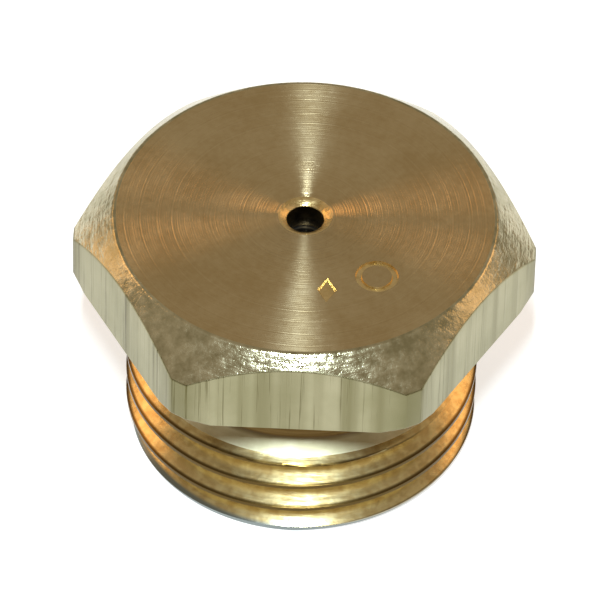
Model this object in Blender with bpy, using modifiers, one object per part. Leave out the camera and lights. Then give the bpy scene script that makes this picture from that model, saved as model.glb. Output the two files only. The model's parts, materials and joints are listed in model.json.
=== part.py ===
"""Oil burner nozzle: a hex-head pressure-jet nozzle with its swirl parts and disc strainer.

The nozzle stands on its threaded end with the spray face up. The origin is the centre of the
rear end face, and +Z runs along the nozzle to the face. Everything is turned about Z.

From the face down, the pieces are the body, the orifice disc, the swirl core, the clip that
keeps the core on the lock screw, the lock screw, and the strainer with its shell, grid,
gauze and spring ring.
"""

import math

import bmesh
import bpy
from mathutils import Matrix, Vector

MM = 0.001

# ---------------------------------------------------------------- driving sizes
# Hex head
HEX_ACROSS_FLATS = 16.0 * MM
HEX_HEIGHT = 3.65 * MM
CORNER_BLUNTING = 0.19 * MM          # drawn bar has its corners knocked off by this much
FACE_CHAMFER_WIDTH = 0.5 * MM        # from a flat's middle in to the turned face
FACE_CHAMFER_ANGLE = math.radians(45)
UNDER_CHAMFER_WIDTH = 0.4 * MM       # at the corners of the hex, on the seat side
UNDER_CHAMFER_RISE = 0.28 * MM

# Threaded shank
THREAD_DIAMETER = 13.9 * MM          # over the crests of a 14 mm thread
SHANK_LENGTH = 7.15 * MM             # from the seat to the rear end
THREAD_FLANK_ANGLE = math.radians(30)
RELIEF_WIDTH = 3.2 * MM              # the neck, from the seat to the first crest
RELIEF_DEPTH = 0.35 * MM
LEAD_CHAMFER_WIDTH = 0.25 * MM       # at the rear end of the thread
LEAD_CHAMFER_HEIGHT = 0.65 * MM
SEAT_UNDERCUT = 0.12 * MM            # the seat is relieved inside the thread's crest
BODY_WALL = 1.55 * MM                # between the relief and the lock screw's bore

# Spray outlet
ORIFICE_DIAMETER = 1.2 * MM          # in the hard disc
OUTLET_DIAMETER = 1.5 * MM           # through the body's front wall
OUTLET_FLARE_DIAMETER = 2.15 * MM
OUTLET_FLARE_ANGLE = math.radians(60)
FRONT_WALL = 1.25 * MM

# Swirl parts
SHOULDER_WIDTH = 1.5 * MM            # step between the lock screw's bore and the disc's bore
DISC_RIM = 1.0 * MM                  # flat ring around the disc's cone
SEAT_CONE_ANGLE = math.radians(90)
ORIFICE_LAND = 0.3 * MM              # straight length of the orifice
FEED_GALLERY = 1.2 * MM              # height of the ring space behind the disc
SPIN_DIAMETER = 1.6 * MM
SPIN_DEPTH = 0.45 * MM
SPIN_RIM = 0.25 * MM
SLOT_COUNT = 4
SLOT_WIDTH = 0.5 * MM
SLOT_DEPTH = 0.45 * MM
STEM_DIAMETER = 2.8 * MM
STEM_TAIL = 0.35 * MM                # stem left behind its clip
CLIP_THICKNESS = 0.35 * MM
CLIP_WIDTH = 0.6 * MM
CLIP_GAP_ANGLE = math.radians(80)
CLIP_GROOVE_DEPTH = 0.3 * MM

# Lock screw
LOCK_RECESS = 0.9 * MM               # the screw's rear end sits this far inside the body
LOCK_WALL = 1.1 * MM
LOCK_WEB = 1.8 * MM                  # solid front of the screw, with the feed holes
LOCK_CHAMFER = 0.3 * MM
FEED_HOLE_COUNT = 6
FEED_HOLE_DIAMETER = 0.95 * MM
DRIVER_SLOT_WIDTH = 1.2 * MM
DRIVER_SLOT_DEPTH = 1.1 * MM

# Strainer
SHELL_WALL = 0.3 * MM
SHELL_LIP = 0.35 * MM                # turned in at the front to hold the pack
SHELL_FLANGE = 0.45 * MM             # turned out at the rear, past the screw's bore
SHELL_STAND_OFF = 0.25 * MM          # the flange's rear side is this far inside the body
SHELL_HEADROOM = 0.25 * MM           # between the shell and the core's stem
GRID_THICKNESS = 0.3 * MM
GRID_HOLE_DIAMETER = 0.6 * MM
GRID_HOLE_PITCH = 0.95 * MM
GRID_MARGIN = 0.25 * MM              # unpierced edge of the grid
GAUZE_THICKNESS = 0.15 * MM
RING_THICKNESS = 0.35 * MM
RING_WIDTH = 0.5 * MM
RING_GAP_ANGLE = math.radians(40)

# Clearances
SEAT_GAP = 0.03 * MM                 # between faces that are screwed or sprung together
BORE_GAP = 0.05 * MM                 # radial, between a turned piece and its bore
CUT_OVERRUN = 0.5 * MM               # a cutter passes a surface by this much

TURN_STEPS = 96
SMALL_STEPS = 64
HOLE_STEPS = 16

# ---------------------------------------------------------------- sizes that follow
HEX_FLAT_RADIUS = HEX_ACROSS_FLATS / 2
HEX_CORNER_RADIUS = HEX_FLAT_RADIUS / math.cos(math.radians(30)) - CORNER_BLUNTING
FACE_RADIUS = HEX_FLAT_RADIUS - FACE_CHAMFER_WIDTH
FACE_Z = SHANK_LENGTH + HEX_HEIGHT
CHAMFER_FOOT_Z = FACE_Z - (HEX_CORNER_RADIUS - FACE_RADIUS) * math.tan(FACE_CHAMFER_ANGLE)

THREAD_RADIUS = THREAD_DIAMETER / 2
RELIEF_RADIUS = THREAD_RADIUS - RELIEF_DEPTH
FIRST_CREST_Z = SHANK_LENGTH - RELIEF_WIDTH
RELIEF_FOOT_Z = FIRST_CREST_Z + RELIEF_DEPTH * math.tan(THREAD_FLANK_ANGLE)
LOCK_BORE_RADIUS = RELIEF_RADIUS - BODY_WALL
DISC_BORE_RADIUS = LOCK_BORE_RADIUS - SHOULDER_WIDTH

OUTLET_RADIUS = OUTLET_DIAMETER / 2
OUTLET_FLARE_RADIUS = OUTLET_FLARE_DIAMETER / 2
OUTLET_FLARE_DEPTH = (OUTLET_FLARE_RADIUS - OUTLET_RADIUS) / math.tan(OUTLET_FLARE_ANGLE / 2)
WALL_BACK_Z = FACE_Z - FRONT_WALL

DISC_RADIUS = DISC_BORE_RADIUS - BORE_GAP
DISC_FRONT_Z = WALL_BACK_Z - SEAT_GAP
CONE_RADIUS = DISC_RADIUS - DISC_RIM
CONE_SLOPE = math.tan(SEAT_CONE_ANGLE / 2)           # radius gained for each unit of depth
CONE_DEPTH = (CONE_RADIUS - ORIFICE_DIAMETER / 2) / CONE_SLOPE
DISC_BACK_Z = DISC_FRONT_Z - ORIFICE_LAND - CONE_DEPTH
SHOULDER_Z = DISC_BACK_Z - FEED_GALLERY

NOSE_RADIUS = SPIN_DIAMETER / 2 + SPIN_RIM
CORE_RADIUS = CONE_RADIUS - BORE_GAP
CORE_CONE_OFFSET = SEAT_GAP / math.cos(SEAT_CONE_ANGLE / 2)
CORE_CONE_FOOT_Z = DISC_BACK_Z + (CONE_RADIUS - CORE_CONE_OFFSET - CORE_RADIUS) / CONE_SLOPE
NOSE_Z = CORE_CONE_FOOT_Z + (CORE_RADIUS - NOSE_RADIUS) / CONE_SLOPE

LOCK_FRONT_Z = SHOULDER_Z - SEAT_GAP
LOCK_RADIUS = LOCK_BORE_RADIUS - BORE_GAP
WEB_BACK_Z = LOCK_FRONT_Z - LOCK_WEB
POCKET_RADIUS = LOCK_RADIUS - LOCK_WALL
CORE_FOOT_Z = LOCK_FRONT_Z + SEAT_GAP
STEM_RADIUS = STEM_DIAMETER / 2
FEED_CIRCLE_RADIUS = (CORE_RADIUS + DISC_BORE_RADIUS) / 2

CLIP_TOP_Z = WEB_BACK_Z - SEAT_GAP
GROOVE_TOP_Z = CLIP_TOP_Z + SEAT_GAP / 2
GROOVE_FOOT_Z = CLIP_TOP_Z - CLIP_THICKNESS - SEAT_GAP / 2
GROOVE_RADIUS = STEM_RADIUS - CLIP_GROOVE_DEPTH
CLIP_INNER_RADIUS = GROOVE_RADIUS + SEAT_GAP
STEM_END_Z = GROOVE_FOOT_Z - STEM_TAIL

SHELL_RADIUS = POCKET_RADIUS - BORE_GAP
SHELL_BORE_RADIUS = SHELL_RADIUS - SHELL_WALL
SHELL_TOP_Z = STEM_END_Z - SHELL_HEADROOM
GRID_TOP_Z = SHELL_TOP_Z - SHELL_WALL - SEAT_GAP
GAUZE_TOP_Z = GRID_TOP_Z - GRID_THICKNESS - SEAT_GAP
RING_TOP_Z = GAUZE_TOP_Z - GAUZE_THICKNESS - SEAT_GAP
PACK_RADIUS = SHELL_BORE_RADIUS - BORE_GAP


# ---------------------------------------------------------------- helpers
def clear_scene():
    """Empty the file of objects and of collections left by an earlier run."""
    for obj in list(bpy.data.objects):
        bpy.data.objects.remove(obj, do_unlink=True)
    for collection in list(bpy.data.collections):
        bpy.data.collections.remove(collection)


def new_collection(name):
    """A collection linked to the scene."""
    collection = bpy.data.collections.new(name)
    bpy.context.scene.collection.children.link(collection)
    return collection


def metal(name, color, roughness):
    """A metallic Principled material in linear colour."""
    material = bpy.data.materials.new(name)
    material.use_nodes = True
    shader = material.node_tree.nodes["Principled BSDF"]
    shader.inputs["Base Color"].default_value = (*color, 1.0)
    shader.inputs["Metallic"].default_value = 1.0
    shader.inputs["Roughness"].default_value = roughness
    material.diffuse_color = (*color, 1.0)
    return material


def place(name, mesh, collection, material=None):
    """An object for a mesh, smooth on its round faces and sharp at its edges."""
    obj = bpy.data.objects.new(name, mesh)
    collection.objects.link(obj)
    if material:
        mesh.materials.append(material)
    return obj


def as_cutter(obj):
    """Cutters stay in the file as wires and are never rendered."""
    obj.hide_render = True
    obj.display_type = "WIRE"
    return obj


def turned(name, profile, collection, material=None, steps=TURN_STEPS, ring=True):
    """Revolve (radius, height) points about Z.

    The profile runs down the outer side. A ring's profile closes on itself, and any other
    profile starts and ends on the axis.
    """
    mesh = bpy.data.meshes.new(name)
    points = [(radius, 0.0, height) for radius, height in profile]
    edges = [(i, i + 1) for i in range(len(points) - 1)]
    if ring:
        edges.append((len(points) - 1, 0))
    mesh.from_pydata(points, edges, [])
    obj = place(name, mesh, collection, material)
    screw = obj.modifiers.new("turn", "SCREW")
    screw.axis = "Z"
    screw.angle = math.tau
    screw.steps = steps
    screw.render_steps = steps
    screw.use_merge_vertices = True
    screw.merge_threshold = 1e-6
    screw.use_smooth_shade = False
    return obj


def cut(obj, cutter, operation="DIFFERENCE"):
    """Add an exact Boolean with a cutter."""
    boolean = obj.modifiers.new(cutter.name, "BOOLEAN")
    boolean.operation = operation
    boolean.solver = "EXACT"
    boolean.object = cutter


def prism(name, sides, radius, low, high, collection, spots=((0.0, 0.0),), turn=0.0):
    """Upright prisms of one size, one at each (x, y) spot, as a single cutter."""
    shape = bmesh.new()
    for x, y in spots:
        at = Matrix.Translation((x, y, (low + high) / 2)) @ Matrix.Rotation(turn, 4, "Z")
        bmesh.ops.create_cone(
            shape,
            cap_ends=True,
            segments=sides,
            radius1=radius,
            radius2=radius,
            depth=high - low,
            matrix=at,
        )
    mesh = bpy.data.meshes.new(name)
    shape.to_mesh(mesh)
    shape.free()
    return as_cutter(place(name, mesh, collection))


def box(name, size, matrix, collection):
    """A box cutter of the given size, centred on its matrix."""
    shape = bmesh.new()
    bmesh.ops.create_cube(shape, size=1.0, matrix=matrix @ Matrix.Diagonal((*size, 1.0)))
    mesh = bpy.data.meshes.new(name)
    shape.to_mesh(mesh)
    shape.free()
    return as_cutter(place(name, mesh, collection))


def split_ring(name, inner, outer, low, high, gap, collection, material):
    """A flat open ring, with its gap towards +X, cut from strip."""
    arc = math.tau - gap
    count = SMALL_STEPS
    angles = [gap / 2 + arc * i / count for i in range(count + 1)]
    outline = [(outer * math.cos(a), outer * math.sin(a)) for a in angles]
    outline += [(inner * math.cos(a), inner * math.sin(a)) for a in reversed(angles)]
    curve = bpy.data.curves.new(name, "CURVE")
    curve.dimensions = "2D"
    curve.fill_mode = "BOTH"
    curve.extrude = (high - low) / 2
    spline = curve.splines.new("POLY")
    spline.points.add(len(outline) - 1)
    for point, (x, y) in zip(spline.points, outline):
        point.co = (x, y, 0.0, 1.0)
    spline.use_cyclic_u = True
    curve.materials.append(material)
    obj = bpy.data.objects.new(name, curve)
    obj.location.z = (low + high) / 2
    collection.objects.link(obj)
    return obj


def finish_shading(obj):
    """Shade turned faces smooth and keep machined edges sharp."""
    if obj.type == "MESH":
        obj.data.shade_smooth()
        obj.data.set_sharp_from_angle(angle=math.radians(30))


# ---------------------------------------------------------------- pieces
def make_body(parts, cutters, brass):
    """Hex bar turned to a face, a thread blank and a stepped bore from the rear."""
    seat_z = SHANK_LENGTH
    undercut_radius = THREAD_RADIUS + SEAT_UNDERCUT
    profile = [
        (OUTLET_FLARE_RADIUS, FACE_Z),
        (FACE_RADIUS, FACE_Z),
        (HEX_CORNER_RADIUS, CHAMFER_FOOT_Z),
        (HEX_CORNER_RADIUS, seat_z + UNDER_CHAMFER_RISE),
        (HEX_CORNER_RADIUS - UNDER_CHAMFER_WIDTH, seat_z),
        (undercut_radius, seat_z),
        (undercut_radius, seat_z + SEAT_UNDERCUT),
        (RELIEF_RADIUS, seat_z + SEAT_UNDERCUT),
        (RELIEF_RADIUS, RELIEF_FOOT_Z),
        (THREAD_RADIUS, FIRST_CREST_Z),
        (THREAD_RADIUS, LEAD_CHAMFER_HEIGHT),
        (THREAD_RADIUS - LEAD_CHAMFER_WIDTH, 0.0),
        (LOCK_BORE_RADIUS + LOCK_CHAMFER, 0.0),
        (LOCK_BORE_RADIUS, LOCK_CHAMFER),
        (LOCK_BORE_RADIUS, SHOULDER_Z),
        (DISC_BORE_RADIUS, SHOULDER_Z),
        (DISC_BORE_RADIUS, WALL_BACK_Z),
        (OUTLET_RADIUS, WALL_BACK_Z),
        (OUTLET_RADIUS, FACE_Z - OUTLET_FLARE_DEPTH),
    ]
    body = turned("nozzle_body", profile, parts, brass)
    bar = prism(
        "hex_bar",
        6,
        HEX_FLAT_RADIUS / math.cos(math.radians(30)),
        -CUT_OVERRUN,
        FACE_Z + CUT_OVERRUN,
        cutters,
        turn=math.radians(30),
    )
    cut(body, bar, "INTERSECT")
    return body


def make_orifice_disc(parts, steel):
    """Hard disc behind the front wall: orifice in front, seat cone behind."""
    chamfer = SEAT_GAP * 3
    profile = [
        (ORIFICE_DIAMETER / 2, DISC_FRONT_Z),
        (DISC_RADIUS - chamfer, DISC_FRONT_Z),
        (DISC_RADIUS, DISC_FRONT_Z - chamfer),
        (DISC_RADIUS, DISC_BACK_Z),
        (CONE_RADIUS, DISC_BACK_Z),
        (ORIFICE_DIAMETER / 2, DISC_FRONT_Z - ORIFICE_LAND),
    ]
    return turned("orifice_disc", profile, parts, steel)


def slot_cutter(index, cutters):
    """One slot along the core's cone, tangent to the spin recess."""
    half_angle = SEAT_CONE_ANGLE / 2
    run = (CORE_RADIUS - NOSE_RADIUS) / math.sin(half_angle)
    length = run + 2 * CORE_RADIUS
    offset = SPIN_DIAMETER / 2 - SLOT_WIDTH / 2
    size = (length, SLOT_WIDTH, SLOT_DEPTH + CUT_OVERRUN)
    # local X runs down the cone, local Z leaves it square to its surface
    foot = Vector((NOSE_RADIUS, offset, NOSE_Z))
    down_cone = Matrix.Translation(foot) @ Matrix.Rotation(math.pi / 2 - half_angle, 4, "Y")
    start = -NOSE_RADIUS * math.sin(half_angle)
    centre = Matrix.Translation((start + length / 2, 0.0, (CUT_OVERRUN - SLOT_DEPTH) / 2))
    around = Matrix.Rotation(math.tau * index / SLOT_COUNT, 4, "Z")
    return box(f"swirl_slot_{index + 1}", size, around @ down_cone @ centre, cutters)


def make_swirl_core(parts, cutters, steel):
    """Cone head with tangential slots into a spin recess, on a stem with a clip groove."""
    profile = [
        (0.0, NOSE_Z - SPIN_DEPTH),
        (SPIN_DIAMETER / 2, NOSE_Z - SPIN_DEPTH),
        (SPIN_DIAMETER / 2, NOSE_Z),
        (NOSE_RADIUS, NOSE_Z),
        (CORE_RADIUS, CORE_CONE_FOOT_Z),
        (CORE_RADIUS, CORE_FOOT_Z),
        (STEM_RADIUS, CORE_FOOT_Z),
        (STEM_RADIUS, GROOVE_TOP_Z),
        (GROOVE_RADIUS, GROOVE_TOP_Z),
        (GROOVE_RADIUS, GROOVE_FOOT_Z),
        (STEM_RADIUS, GROOVE_FOOT_Z),
        (STEM_RADIUS, STEM_END_Z + STEM_TAIL / 3),
        (STEM_RADIUS - STEM_TAIL / 3, STEM_END_Z),
        (0.0, STEM_END_Z),
    ]
    core = turned("swirl_core", profile, parts, steel, SMALL_STEPS, ring=False)
    for index in range(SLOT_COUNT):
        cut(core, slot_cutter(index, cutters))
    return core


def make_core_clip(parts, steel):
    """Open clip in the stem's groove, behind the lock screw's web."""
    return split_ring(
        "core_clip",
        CLIP_INNER_RADIUS,
        CLIP_INNER_RADIUS + CLIP_WIDTH,
        CLIP_TOP_Z - CLIP_THICKNESS,
        CLIP_TOP_Z,
        CLIP_GAP_ANGLE,
        parts,
        steel,
    )


def make_lock_screw(parts, cutters, brass):
    """Hollow screw that presses the core into its seat and lets the oil through."""
    stem_bore = STEM_RADIUS + BORE_GAP
    profile = [
        (stem_bore, LOCK_FRONT_Z),
        (LOCK_RADIUS - LOCK_CHAMFER, LOCK_FRONT_Z),
        (LOCK_RADIUS, LOCK_FRONT_Z - LOCK_CHAMFER),
        (LOCK_RADIUS, LOCK_RECESS + LOCK_CHAMFER),
        (LOCK_RADIUS - LOCK_CHAMFER, LOCK_RECESS),
        (POCKET_RADIUS, LOCK_RECESS),
        (POCKET_RADIUS, WEB_BACK_Z),
        (stem_bore, WEB_BACK_Z),
    ]
    screw = turned("lock_screw", profile, parts, brass)
    spots = []
    for index in range(FEED_HOLE_COUNT):
        angle = math.tau * (index + 0.5) / FEED_HOLE_COUNT
        spots.append((FEED_CIRCLE_RADIUS * math.cos(angle), FEED_CIRCLE_RADIUS * math.sin(angle)))
    holes = prism(
        "feed_holes",
        HOLE_STEPS,
        FEED_HOLE_DIAMETER / 2,
        WEB_BACK_Z - CUT_OVERRUN / 2,
        LOCK_FRONT_Z + CUT_OVERRUN / 2,
        cutters,
        spots,
    )
    cut(screw, holes)
    slot_size = (4 * LOCK_RADIUS, DRIVER_SLOT_WIDTH, 2 * DRIVER_SLOT_DEPTH)
    slot = box("driver_slot", slot_size, Matrix.Translation((0.0, 0.0, LOCK_RECESS)), cutters)
    cut(screw, slot)
    return screw


def make_strainer_shell(parts, brass):
    """Thin cup pushed into the lock screw, lipped in front and flanged behind."""
    flange_top_z = LOCK_RECESS - SEAT_GAP
    profile = [
        (SHELL_BORE_RADIUS - SHELL_LIP, SHELL_TOP_Z),
        (SHELL_RADIUS, SHELL_TOP_Z),
        (SHELL_RADIUS, flange_top_z),
        (SHELL_RADIUS + SHELL_FLANGE, flange_top_z),
        (SHELL_RADIUS + SHELL_FLANGE, SHELL_STAND_OFF),
        (SHELL_BORE_RADIUS, SHELL_STAND_OFF),
        (SHELL_BORE_RADIUS, SHELL_TOP_Z - SHELL_WALL),
        (SHELL_BORE_RADIUS - SHELL_LIP, SHELL_TOP_Z - SHELL_WALL),
    ]
    return turned("strainer_shell", profile, parts, brass)


def grid_spots():
    """Hole centres on a triangular pattern, inside the grid's unpierced edge."""
    reach = SHELL_BORE_RADIUS - SHELL_LIP - GRID_MARGIN - GRID_HOLE_DIAMETER / 2
    row_pitch = GRID_HOLE_PITCH * math.sin(math.radians(60))
    rows = int(reach / row_pitch)
    spots = []
    for row in range(-rows, rows + 1):
        shift = GRID_HOLE_PITCH / 2 if row % 2 else 0.0
        columns = int(reach / GRID_HOLE_PITCH) + 1
        for column in range(-columns, columns + 1):
            spot = (column * GRID_HOLE_PITCH + shift, row * row_pitch)
            if math.hypot(*spot) <= reach:
                spots.append(spot)
    return spots


def make_strainer_grid(parts, cutters, brass):
    """Pierced disc that backs the gauze."""
    profile = [
        (0.0, GRID_TOP_Z),
        (PACK_RADIUS, GRID_TOP_Z),
        (PACK_RADIUS, GRID_TOP_Z - GRID_THICKNESS),
        (0.0, GRID_TOP_Z - GRID_THICKNESS),
    ]
    grid = turned("strainer_grid", profile, parts, brass, SMALL_STEPS, ring=False)
    holes = prism(
        "grid_holes",
        HOLE_STEPS // 2,
        GRID_HOLE_DIAMETER / 2,
        GRID_TOP_Z - GRID_THICKNESS - CUT_OVERRUN,
        GRID_TOP_Z + CUT_OVERRUN,
        cutters,
        grid_spots(),
    )
    cut(grid, holes)
    return grid


def make_strainer_gauze(parts, steel):
    """The gauze, as a plain disc of its thickness."""
    profile = [
        (0.0, GAUZE_TOP_Z),
        (PACK_RADIUS, GAUZE_TOP_Z),
        (PACK_RADIUS, GAUZE_TOP_Z - GAUZE_THICKNESS),
        (0.0, GAUZE_TOP_Z - GAUZE_THICKNESS),
    ]
    return turned("strainer_gauze", profile, parts, steel, SMALL_STEPS, ring=False)


def make_strainer_ring(parts, steel):
    """Spring ring that holds the pack up against the shell's lip."""
    return split_ring(
        "strainer_ring",
        PACK_RADIUS - RING_WIDTH,
        PACK_RADIUS,
        RING_TOP_Z - RING_THICKNESS,
        RING_TOP_Z,
        RING_GAP_ANGLE,
        parts,
        steel,
    )


def main():
    """Build every piece of the nozzle."""
    clear_scene()
    parts = new_collection("oil_burner_nozzle")
    cutters = new_collection("cutters")

    brass = metal("free_cutting_brass", (0.56, 0.37, 0.13), 0.32)
    strip_brass = metal("strip_brass", (0.60, 0.42, 0.16), 0.3)
    hard_steel = metal("hardened_stainless_steel", (0.45, 0.44, 0.42), 0.25)
    spring_steel = metal("spring_steel", (0.28, 0.28, 0.29), 0.35)
    wire_steel = metal("stainless_wire", (0.5, 0.5, 0.48), 0.3)

    pieces = [
        make_body(parts, cutters, brass),
        make_orifice_disc(parts, hard_steel),
        make_swirl_core(parts, cutters, hard_steel),
        make_core_clip(parts, spring_steel),
        make_lock_screw(parts, cutters, brass),
        make_strainer_shell(parts, strip_brass),
        make_strainer_grid(parts, cutters, strip_brass),
        make_strainer_gauze(parts, wire_steel),
        make_strainer_ring(parts, spring_steel),
    ]
    for piece in pieces:
        finish_shading(piece)


main()
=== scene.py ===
"""Looks of the oil burner nozzle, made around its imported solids.

The nozzle stands on its threaded end at height 0 with the spray face up, and everything is
turned about Z. Sizes that the solids give are read from them, and the rest are named here.
"""

import json
import math

import bmesh
import bpy
import numpy as np
from mathutils import Matrix, Vector


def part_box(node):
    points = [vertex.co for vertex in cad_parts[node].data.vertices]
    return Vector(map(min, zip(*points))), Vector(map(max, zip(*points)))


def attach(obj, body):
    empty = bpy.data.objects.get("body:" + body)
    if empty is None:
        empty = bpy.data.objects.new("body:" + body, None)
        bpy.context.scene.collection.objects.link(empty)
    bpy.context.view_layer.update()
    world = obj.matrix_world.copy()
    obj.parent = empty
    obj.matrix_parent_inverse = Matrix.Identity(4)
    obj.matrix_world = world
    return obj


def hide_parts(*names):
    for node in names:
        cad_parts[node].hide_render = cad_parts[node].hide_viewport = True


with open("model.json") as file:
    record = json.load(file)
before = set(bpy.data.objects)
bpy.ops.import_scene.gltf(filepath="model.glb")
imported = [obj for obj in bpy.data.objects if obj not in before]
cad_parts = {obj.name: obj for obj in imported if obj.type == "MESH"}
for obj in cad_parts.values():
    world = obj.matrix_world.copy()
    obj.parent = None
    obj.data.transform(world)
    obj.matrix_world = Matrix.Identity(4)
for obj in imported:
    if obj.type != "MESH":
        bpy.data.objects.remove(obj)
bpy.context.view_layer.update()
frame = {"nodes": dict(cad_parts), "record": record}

MM = 0.001
MOUNTS = {mount["name"]: mount["pos_m"] for mount in frame["record"]["mounts"]}

# ---------------------------------------------------------------- sizes read from the solids
BODY_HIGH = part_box("nozzle_body")[1]
FACE_Z = BODY_HIGH.z
HEX_CORNER_RADIUS = BODY_HIGH.x
HEX_FLAT_RADIUS = BODY_HIGH.y
SEAT_Z = MOUNTS["seat_face"][2]
SCREW_LOW, SCREW_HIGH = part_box("lock_screw")
SCREW_RADIUS = SCREW_HIGH.x
SCREW_REAR_Z = SCREW_LOW.z
SCREW_FRONT_Z = SCREW_HIGH.z
DISC_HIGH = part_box("orifice_disc")[1]
GAUZE_LOW, GAUZE_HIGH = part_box("strainer_gauze")

# ---------------------------------------------------------------- how finely meshes are made
COLUMNS_PER_FLAT = 40
COLUMNS_PER_CORNER = 8
SCREW_COLUMNS = 160
SCREW_COLUMN_TURN = math.radians(0.7)    # keeps the columns clear of the holes' edges
EDGE_STEPS = 4
RIM_STEPS = 6
RING_STEPS = 40
HOLE_STEPS = 28
WIRE_POINTS = 90
WIRE_SIDES = 6
SHARP_ANGLE = math.radians(32)
MERGE_DISTANCE = 0.0003 * MM
SLIVER_WIDTH = 0.0001 * MM
LARGEST_CUT = 0.45                   # a rounded corner takes at most this share of a side
LEAST_LENGTH = 1e-9                  # keeps a side without length from dividing by zero
SPARE_TURNS = 2                      # turns of thread beyond each end, pressed flat there

# ---------------------------------------------------------------- the hexagon, face and neck
FACE_RADIUS = 7.5 * MM
FACE_MIDDLE_RADIUS = 3.5 * MM
FACE_RIM_WIDTH = 0.12 * MM
FACE_RIM_ROUNDING = 0.1 * MM
HEX_EDGE_ROUNDING = 0.06 * MM
UNDER_CHAMFER_RADIUS = 8.65 * MM
UNDER_CHAMFER_SLOPE = 0.7
SEAT_INNER_RADIUS = 7.07 * MM
SEAT_UNDERCUT = 0.12 * MM
NECK_RADIUS = 6.0 * MM
NECK_ROUNDING = 0.1 * MM
TAPER_TOP_Z = 4.66 * MM              # the neck widens below this, out to the first flank
NECK_FOOT_RADIUS = 6.6 * MM
NECK_FOOT_Z = 4.15 * MM
REAR_CHAMFER_RADIUS = 6.7 * MM
REAR_CHAMFER_HEIGHT = 0.65 * MM

# ---------------------------------------------------------------- the outlet and the bores
OUTLET_RADIUS = 0.72 * MM
OUTLET_FLARE_RADIUS = 1.06 * MM
OUTLET_FLARE_DEPTH = 0.19 * MM
OUTLET_BACK_ROUNDING = 0.03 * MM
OUTLET_THROAT_ROUNDING = 0.04 * MM
WALL_BACK_Z = DISC_HIGH.z + 0.03 * MM
DISC_BORE_RADIUS = DISC_HIGH.x + 0.05 * MM
DISC_BORE_ROUNDING = 0.05 * MM
SHOULDER_Z = SCREW_FRONT_Z + 0.03 * MM
BORE_RELIEF_LENGTH = 0.55 * MM
BORE_MOUTH_RADIUS = 5.35 * MM

# ---------------------------------------------------------------- the threads
# M14 x 1.25 outside, cut until it runs out in the neck
OUTER_PITCH = 1.25 * MM
OUTER_CREST_RADIUS = 6.95 * MM
OUTER_DEPTH = 0.75 * MM
OUTER_CREST_Z = 3.97 * MM            # a crest's middle at the front of the nozzle
RUN_OUT_Z = 3.2 * MM
RUN_OUT_LENGTH = 0.8 * MM
FRONT_ANGLE = math.radians(270)

# M10 x 1 inside, between the body and the lock screw
INNER_PITCH = 1.0 * MM
INNER_DEPTH = 0.53 * MM
INNER_CREST_Z = 3.5 * MM
THREAD_PLAY = 0.06 * MM

CREST_SHARE = 1 / 8                  # flat part of a crest, as a share of the pitch
FLANK_SLOPE = math.tan(math.radians(30))
THREAD_SOFTNESS = 0.03               # how much of a flank's depth its rounded ends take
CREST_STOPS = (0.6, 0.93)            # where rows cross a crest's half, as shares of it
FLANK_STOPS = (0.1, 0.4, 0.7, 0.93, 1.06)

# ---------------------------------------------------------------- the two marks in the face
MARK_DEPTH = 0.09 * MM
MARK_OVERLAP = 0.05 * MM             # how far the cutters stand out of the face
MARKS_BACK_Y = -2.0 * MM             # both marks lie in front of this
MARKS_RADIUS = FACE_RADIUS - 0.5 * MM
MARK_SKIN = 0.0005 * MM
RING_SPOT = Vector((2.9 * MM, -3.15 * MM, FACE_Z))
RING_RADII = (0.86 * MM, 0.80 * MM, 0.62 * MM, 0.56 * MM)
DIAMOND_SPOT = Vector((1.0 * MM, -4.0 * MM, FACE_Z))
DIAMOND_HALF_WIDTH = 0.42 * MM
DIAMOND_HALF_LENGTH = 0.72 * MM
DIAMOND_FLOOR_WIDTH = 0.72           # its floor, as shares of its width and length
DIAMOND_FLOOR_LENGTH = 0.78

# ---------------------------------------------------------------- the lock screw and the gauze
SCREW_CHAMFER = 0.55 * MM
SCREW_WEB = 1.8 * MM
POCKET_RADIUS = 3.9 * MM
STEM_BORE_RADIUS = 1.45 * MM
POCKET_ROUNDINGS = [0.08 * MM, 0.1 * MM, 0.06 * MM, 0.06 * MM]
FEED_HOLES = 6
FEED_HOLE_RADIUS = 0.475 * MM
FEED_CIRCLE_RADIUS = 3.0 * MM
FEED_CUTTER_LENGTH = 2.6 * MM        # longer than the web is thick
SLOT_LENGTH = 24 * MM                # longer than the screw is wide
SLOT_WIDTH = 1.2 * MM
SLOT_CUTTER_HEIGHT = 2.2 * MM        # twice the slot's depth
GAUZE_PITCH = 0.3 * MM

# ---------------------------------------------------------------- painted shade on the body, and darker corners
# the neck is painted brown above these heights, as painted shadow of the hexagon
HEX_SHADOW_FOOT_Z = 4.5 * MM
HEX_SHADOW_FULL_Z = 4.65 * MM
CORNER_DARKER_RADII = (8.6 * MM, 9.05 * MM)
# a painted dark line of shade along the crests
CREST_SHADE_RADII = (6.81 * MM, 6.89 * MM)
# a painted reflection of shade: grey on the chamfer at the cut-off end
END_SHADE_RADII = (6.55 * MM, 6.65 * MM)
END_SHADE_HEIGHTS = (0.4 * MM, 0.3 * MM)

# Stretches of a pattern: rings round the axis, and lines along it
RINGS = (0.05, 0.05, 1.0)
EVEN = (1.0, 1.0, 1.0)

# ---------------------------------------------------------------- the stage
FLOOR_REACH = 0.6
PANEL_DISTANCE = 0.5
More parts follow.
